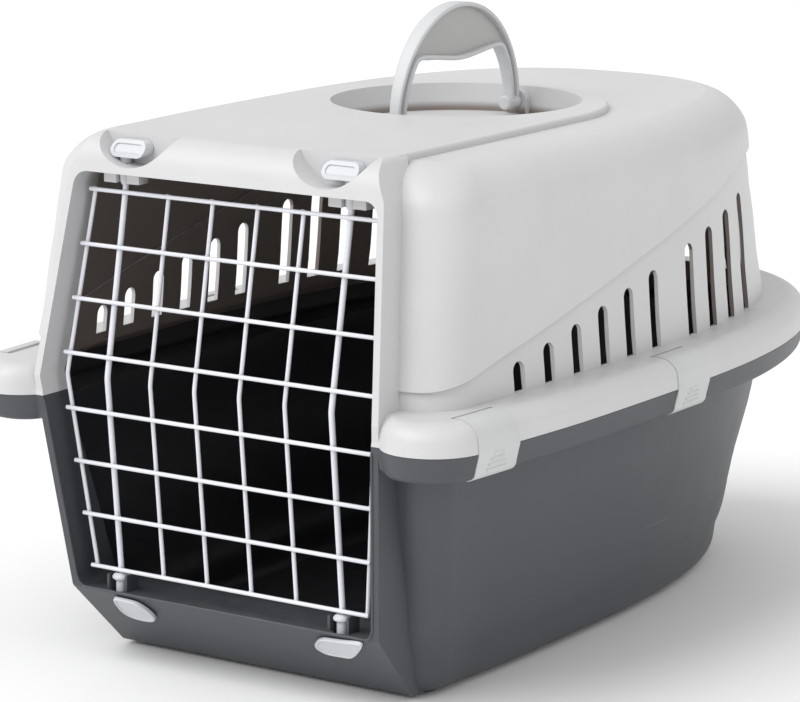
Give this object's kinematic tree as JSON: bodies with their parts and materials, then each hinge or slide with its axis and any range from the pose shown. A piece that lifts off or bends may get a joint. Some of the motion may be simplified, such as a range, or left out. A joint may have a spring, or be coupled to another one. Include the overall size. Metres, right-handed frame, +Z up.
{
  "type": "pet transport carrier",
  "caption": "Two-part plastic pet carrier with a hinged wire door held by sliding latches, swinging rim clips, side vents and a folding roof handle.",
  "frame": {"origin": "on the floor under the middle of the rim, which is the middle of the footprint box", "axes": "+X to the viewer's right when facing the door from outside (looking along +Y), door at -Y, +Z up"},
  "size_m": [0.3764, 0.56, 0.3848],
  "materials": {
    "tub_plastic": "fine grained dark grey polypropylene",
    "shell_plastic": "fine grained light grey polypropylene",
    "handle_plastic": "satin light grey plastic",
    "door_wire": "white powder-coated steel wire",
    "clip_plastic": "satin light grey plastic",
    "top_latch_plastic": "satin light grey plastic",
    "bottom_latch_plastic": "satin white plastic"
  },
  "bodies": {
    "base": {"lower_shell": "tub_plastic"},
    "lid": {"upper_shell": "shell_plastic"},
    "door": {"door_upright_1": "door_wire", "door_upright_2": "door_wire", "door_upright_3": "door_wire", "door_upright_4": "door_wire", "door_upright_5": "door_wire", "door_upright_6": "door_wire", "door_upright_7": "door_wire", "door_upright_8": "door_wire", "door_cross_wire_1": "door_wire", "door_cross_wire_2": "door_wire", "door_cross_wire_3": "door_wire", "door_cross_wire_4": "door_wire", "door_cross_wire_5": "door_wire", "door_cross_wire_6": "door_wire", "door_cross_wire_7": "door_wire", "door_cross_wire_8": "door_wire"},
    "clip_front_right": {"clip_front_right": "clip_plastic"},
    "clip_front_left": {"clip_front_left": "clip_plastic"},
    "clip_rear_right": {"clip_rear_right": "clip_plastic"},
    "clip_rear_left": {"clip_rear_left": "clip_plastic"},
    "handle": {"handle": "handle_plastic"},
    "top_latch_right": {"top_latch_right": "top_latch_plastic"},
    "top_latch_left": {"top_latch_left": "top_latch_plastic"},
    "bottom_latch_right": {"bottom_latch_right": "bottom_latch_plastic"},
    "bottom_latch_left": {"bottom_latch_left": "bottom_latch_plastic"}
  },
  "joints": [
    {"name": "lid_lift", "type": "slide", "parent": "base", "child": "lid", "axis": [0, 0, 1], "range_m": [0, 0.3]},
    {"name": "clip_front_right_hinge", "type": "hinge", "parent": "lid", "child": "clip_front_right", "pos_m": [0.16302, -0.23069, 0.1813], "axis": [-0.0774, -0.997, 0], "range_deg": [0, 100]},
    {"name": "clip_front_left_hinge", "type": "hinge", "parent": "lid", "child": "clip_front_left", "pos_m": [-0.16302, -0.23069, 0.1813], "axis": [-0.0774, 0.997, 0], "range_deg": [0, 100]},
    {"name": "clip_rear_right_hinge", "type": "hinge", "parent": "lid", "child": "clip_rear_right", "pos_m": [0.1705, -0.0235, 0.1813], "axis": [0, -1, 0], "range_deg": [0, 100]},
    {"name": "clip_rear_left_hinge", "type": "hinge", "parent": "lid", "child": "clip_rear_left", "pos_m": [-0.1705, -0.0235, 0.1813], "axis": [0, 1, 0], "range_deg": [0, 100]},
    {"name": "handle_fold", "type": "hinge", "parent": "lid", "child": "handle", "pos_m": [0, 0, 0.3135], "axis": [0, 1, 0], "range_deg": [-90, 90]},
    {"name": "top_latch_right_slide", "type": "slide", "parent": "lid", "child": "top_latch_right", "axis": [0, 0, 1], "range_m": [0, 0.009]},
    {"name": "top_latch_left_slide", "type": "slide", "parent": "lid", "child": "top_latch_left", "axis": [0, 0, 1], "range_m": [0, 0.009]},
    {"name": "bottom_latch_right_slide", "type": "slide", "parent": "base", "child": "bottom_latch_right", "axis": [0, 0, -1], "range_m": [0, 0.009]},
    {"name": "bottom_latch_left_slide", "type": "slide", "parent": "base", "child": "bottom_latch_left", "axis": [0, 0, -1], "range_m": [0, 0.009]},
    {"name": "door_swing", "type": "hinge", "parent": "base", "child": "door", "pos_m": [-0.081, -0.2385, 0.17345], "axis": [0, -0.0424, -0.9991], "range_deg": [0, 110]}
  ]
}
